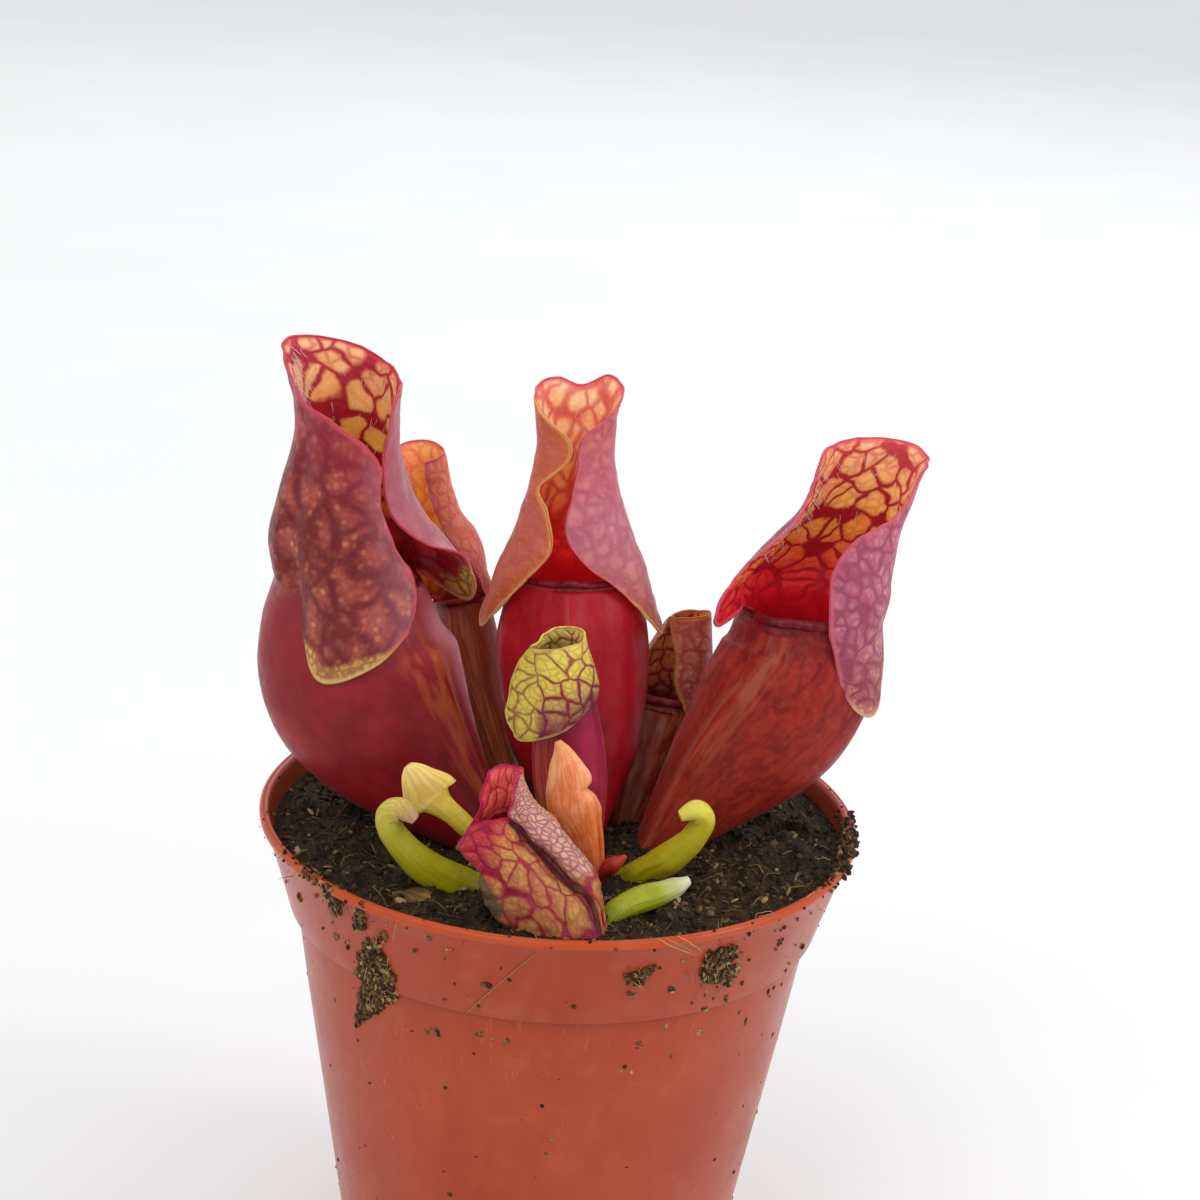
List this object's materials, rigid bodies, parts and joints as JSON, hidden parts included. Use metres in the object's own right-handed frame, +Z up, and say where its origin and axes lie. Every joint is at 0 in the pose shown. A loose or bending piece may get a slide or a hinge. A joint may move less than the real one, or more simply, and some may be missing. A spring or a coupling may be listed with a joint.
{
  "type": "potted pitcher plant",
  "caption": "Small pitcher plant with hooded, hollow tubular leaves and young shoots, standing in peat in a round tapered plastic nursery pot with a collar.",
  "frame": {"origin": "centre of the pot's flat underside", "axes": "+Z up along the pot's axis; -Y towards the front, where the small old leaf hangs over the rim; +X to the right as seen from the front"},
  "size_m": [0.0976, 0.09, 0.1473],
  "materials": {
    "pot": "semi-gloss terracotta-coloured plastic with dirt smears",
    "soil": "matt damp peat with pale fibres",
    "pitcher_left": "dusky purple-red waxy leaf with a dark vein net over orange cells",
    "pitcher_centre": "waxy crimson leaf, pink outside the hood with a purple vein net",
    "pitcher_right": "red-brown waxy leaf with orange streaks, yellow-orange hood with a dark red net",
    "pitcher_back_left": "orange-brown waxy leaf with a yellow-orange hood",
    "pitcher_back_right": "brown-red waxy leaf with a tan margin",
    "pitcher_front_small": "yellow hood with a dark purple-red net on a magenta-red tube",
    "pitcher_front_old": "fading leaf, red-pink to cream with purple veins and a brown dry edge",
    "bud_orange": "salmon-orange closed young leaf with fine lines",
    "shoot_left_green": "yellow-green young leaf with a tan tip",
    "shoot_left_yellow": "yellow to cream young leaf with thin red lines",
    "shoot_right_green": "olive-green young leaf with a pale hooked tip",
    "shoot_right_low": "yellow-green low shoot with a whitish tip",
    "sprout_red": "small red bud",
    "dead_leaf": "dry brown leaf scrap"
  },
  "bodies": {
    "root": {"pot": "pot", "soil": "soil", "pitcher_left": "pitcher_left", "pitcher_centre": "pitcher_centre", "pitcher_right": "pitcher_right", "pitcher_back_left": "pitcher_back_left", "pitcher_back_right": "pitcher_back_right", "pitcher_front_small": "pitcher_front_small", "pitcher_front_old": "pitcher_front_old", "bud_orange": "bud_orange", "shoot_left_green": "shoot_left_green", "shoot_left_yellow": "shoot_left_yellow", "shoot_right_green": "shoot_right_green", "shoot_right_low": "shoot_right_low", "sprout_red": "sprout_red", "dead_leaf": "dead_leaf"}
  },
  "joints": []
}
